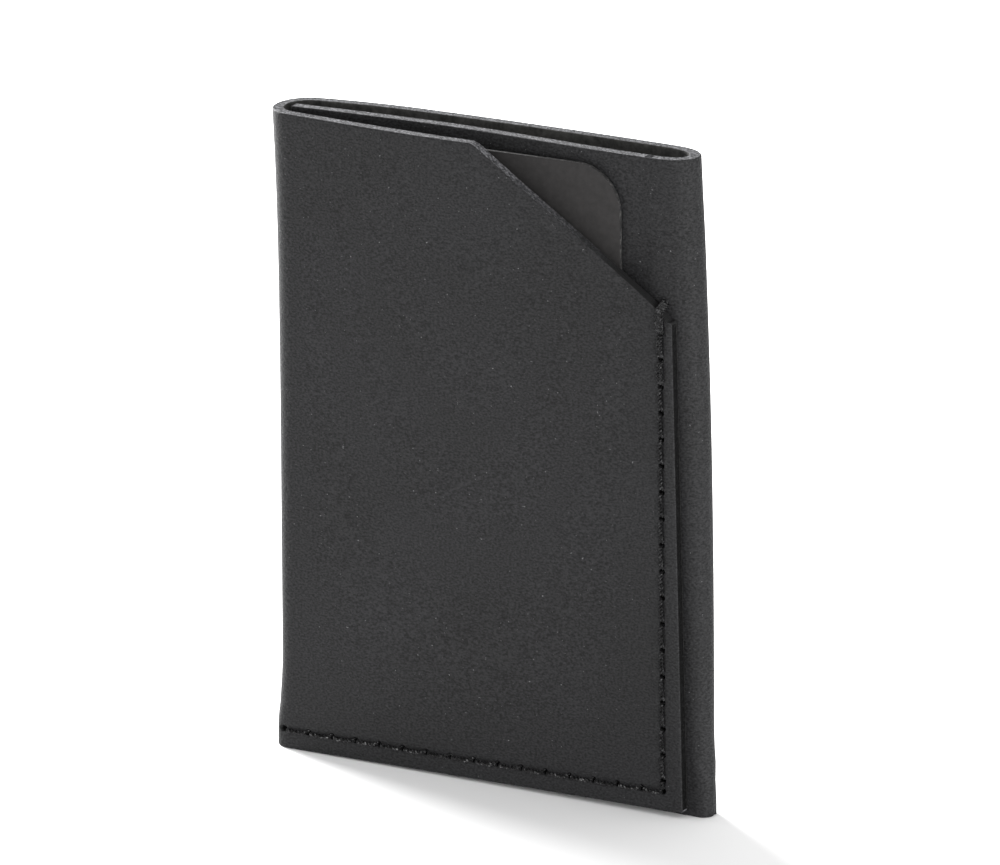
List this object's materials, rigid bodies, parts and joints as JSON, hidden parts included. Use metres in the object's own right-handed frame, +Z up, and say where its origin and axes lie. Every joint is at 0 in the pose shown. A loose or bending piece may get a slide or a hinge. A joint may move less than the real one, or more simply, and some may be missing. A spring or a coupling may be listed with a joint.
{
  "type": "card holder",
  "caption": "Folded leather card holder with a diagonally cut front pocket, an open back pocket, stitched foot and side seams, and a slide-out insert card.",
  "frame": {"origin": "centre of the bounding box's bottom, on the surface that the holder stands on", "axes": "+Z up to the mouth, +X to the right as seen from the front, -Y out of the front panel"},
  "size_m": [0.0742, 0.014, 0.0986],
  "materials": {
    "leather": "smooth charcoal-black leather, fine grain, satin",
    "thread": "black twisted sewing thread",
    "card": "matt dark grey card"
  },
  "bodies": {
    "pockets": {"front_panel": "leather", "left_fold": "leather", "right_fold": "leather", "middle_panel": "leather", "foot_seam_front_thread": "thread", "side_seam_front_thread": "thread", "side_seam_back_thread": "thread"},
    "back_flap": {"back_panel": "leather", "foot_seam_back_thread": "thread"},
    "card": {"insert_card": "card"}
  },
  "joints": [
    {"name": "card_slide", "type": "slide", "parent": "pockets", "child": "card", "axis": [-0.0133, 0, 0.9999], "range_m": [0, 0.091]},
    {"name": "mouth_opening", "type": "hinge", "parent": "pockets", "child": "back_flap", "pos_m": [0, 0.00078, 0], "axis": [-1, 0, 0], "range_deg": [0, 4], "stiffness_Nm_per_rad": 0.05, "springref_deg": -0.57}
  ]
}
